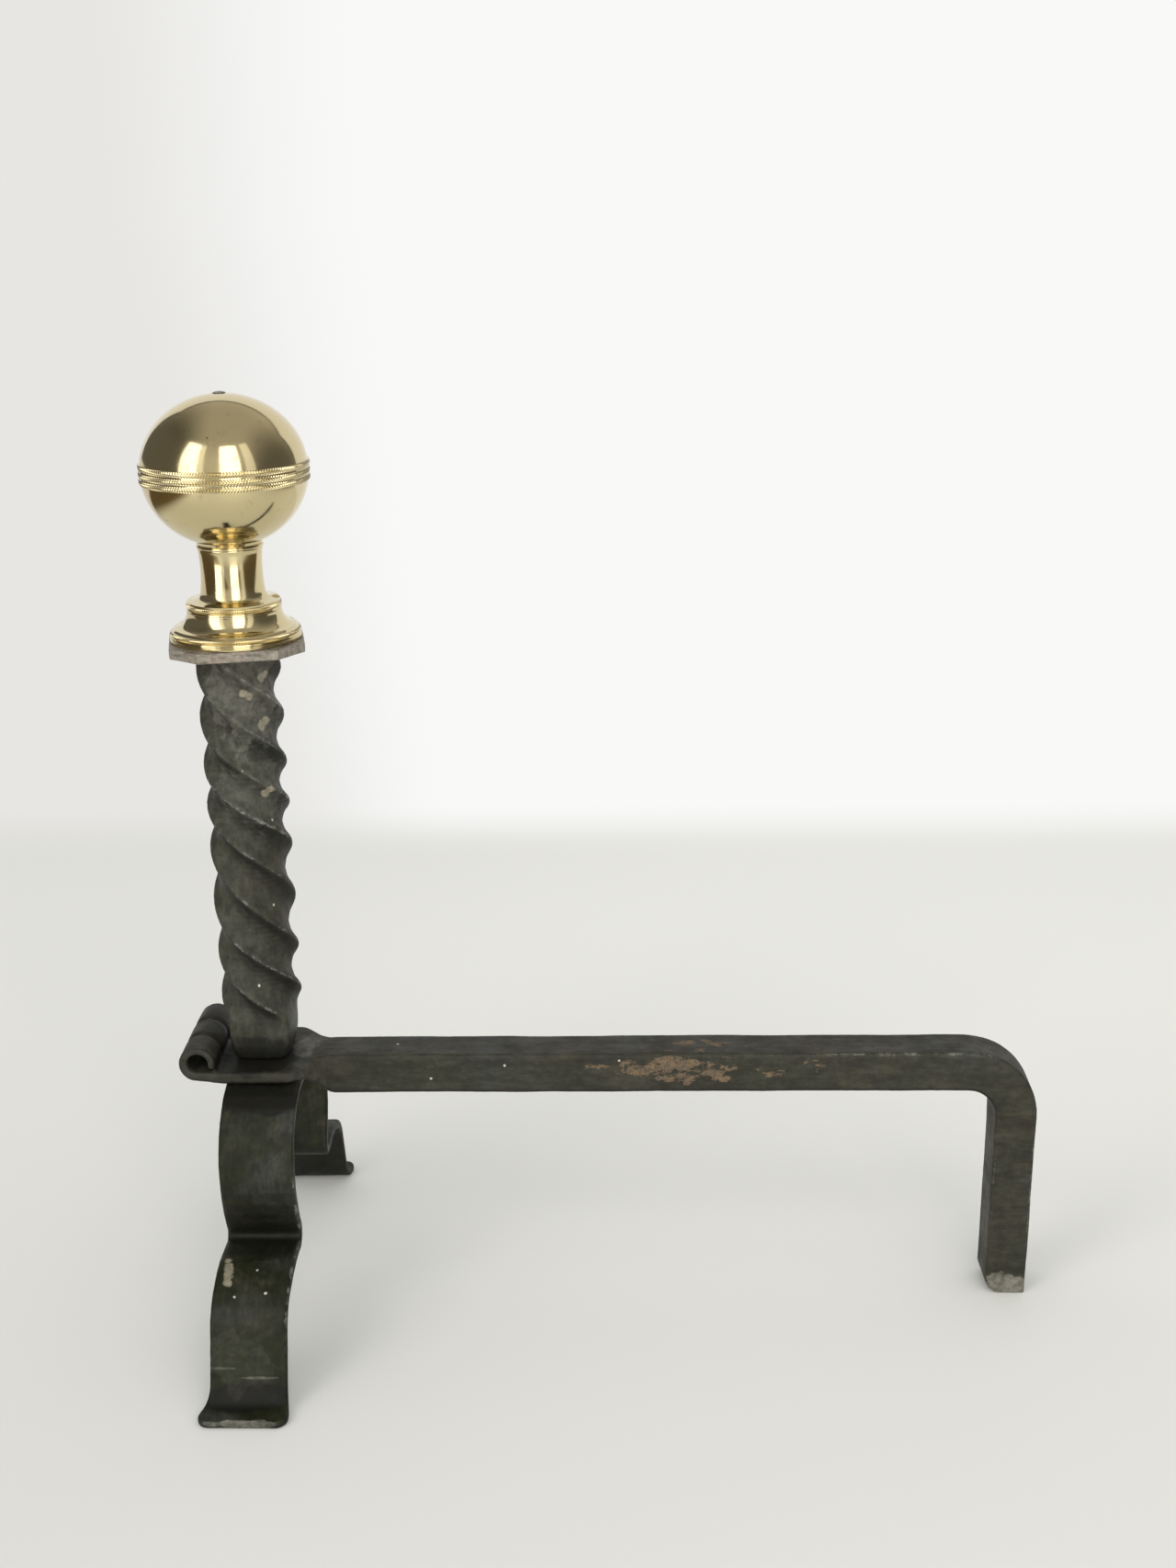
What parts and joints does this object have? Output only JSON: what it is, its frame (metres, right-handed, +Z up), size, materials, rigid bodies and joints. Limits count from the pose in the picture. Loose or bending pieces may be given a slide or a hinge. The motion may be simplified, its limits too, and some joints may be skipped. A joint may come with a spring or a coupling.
{
  "type": "andiron",
  "caption": "Forged iron andiron: a log bar with a bent rear leg, arched front legs, a twisted post and a hollow brass ball finial with milled rows.",
  "frame": {"origin": "on the hearth, under the middle of the andiron's length and of its width", "axes": "+Z up, +X from the ball and the front legs back along the bar to the rear leg, +Y across the front legs"},
  "size_m": [0.3958, 0.223, 0.4296],
  "materials": {
    "blackened_iron": "forged and blackened, satin, with rust on the bar's top",
    "bare_iron": "bare worn bar iron, satin",
    "brass": "cast, turned and polished, with milled rows"
  },
  "bodies": {
    "root": {"billet_bar": "blackened_iron", "front_legs": "blackened_iron", "twisted_post": "blackened_iron", "cap_plate": "bare_iron", "finial_base": "brass", "ball_lower": "brass", "ball_upper": "brass", "tie_rod": "blackened_iron"}
  },
  "joints": []
}
